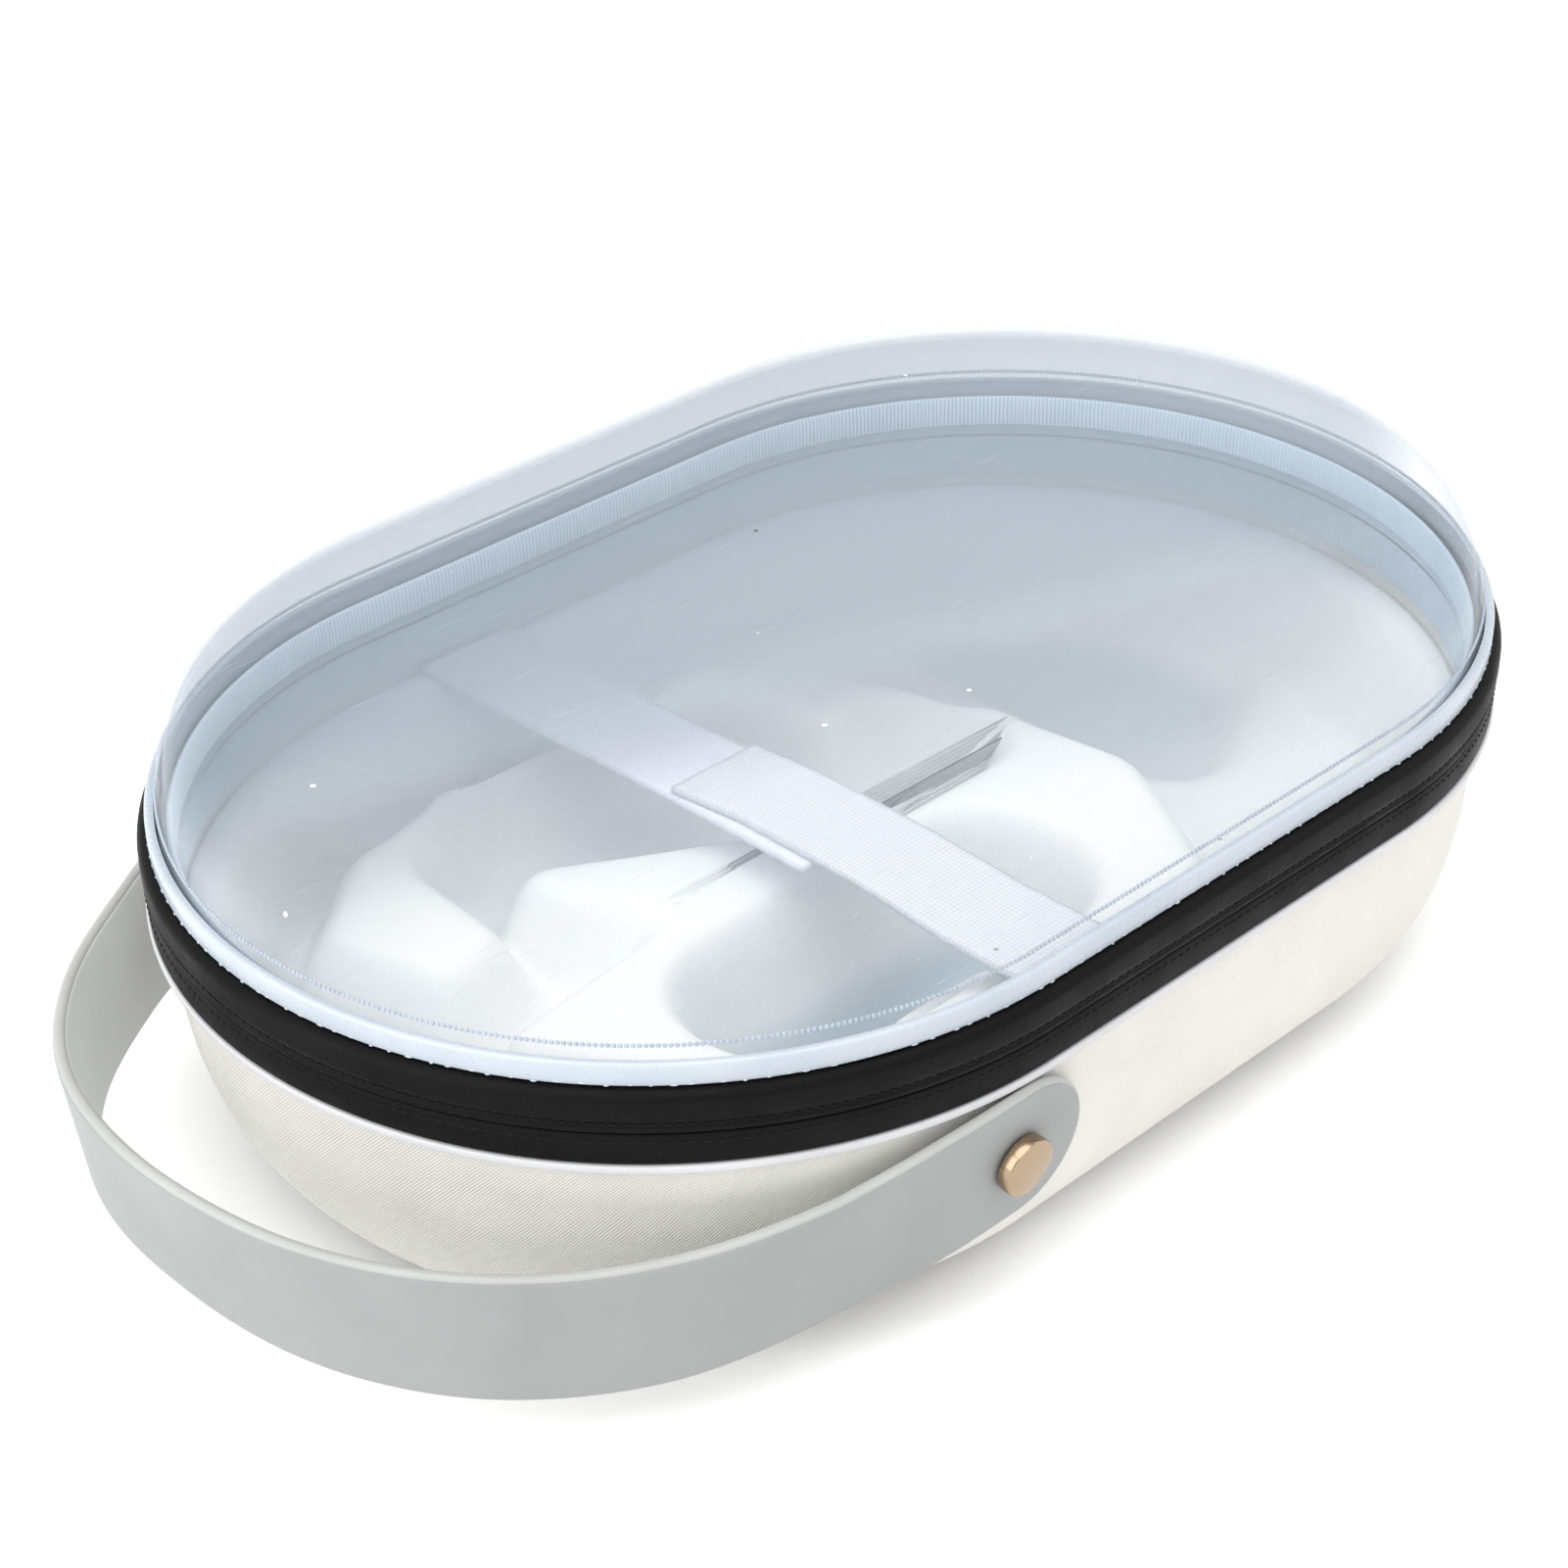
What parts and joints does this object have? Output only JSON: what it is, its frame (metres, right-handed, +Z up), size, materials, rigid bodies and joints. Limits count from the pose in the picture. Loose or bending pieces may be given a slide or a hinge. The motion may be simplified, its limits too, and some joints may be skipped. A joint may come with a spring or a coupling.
{
  "type": "vr headset case",
  "caption": "Oval zip-up hard case with a white padded shell, clear domed lid, black zip band, moulded tray with tie-down strap, and a strap handle on two rivets.",
  "frame": {"origin": "centre of the flat base that the case rests on", "axes": "+Z up, +X along the long axis away from the handle, +Y to the far long side"},
  "size_m": [0.3479, 0.222, 0.1032],
  "materials": {
    "shell_cloth": "fine twill cloth face over moulded foam",
    "lip_grey": "plain cut edge",
    "band_black": "grained black leatherette",
    "rim_milky": "milky translucent",
    "dome_clear": "clear flexible plastic, faintly blue",
    "tape_ribbed": "ribbed grosgrain",
    "tray_white": "brushed cloth over a moulded tray",
    "strap_woven": "hook-and-loop elastic",
    "handle_grey": "matte soft-touch",
    "rivet_gold": "polished rose gold",
    "slider_metal": "satin"
  },
  "bodies": {
    "root": {"base_shell": "shell_cloth", "shell_lip": "lip_grey", "lower_band": "band_black", "upper_band": "band_black", "lid_rim": "rim_milky", "lid_dome": "dome_clear", "lid_binding": "tape_ribbed", "base_binding": "tape_ribbed", "insert_tray": "tray_white", "strap_far": "strap_woven", "strap_near": "strap_woven", "handle_strap": "handle_grey", "rivet_near": "rivet_gold", "rivet_far": "rivet_gold", "zip_slider": "slider_metal"}
  },
  "joints": []
}
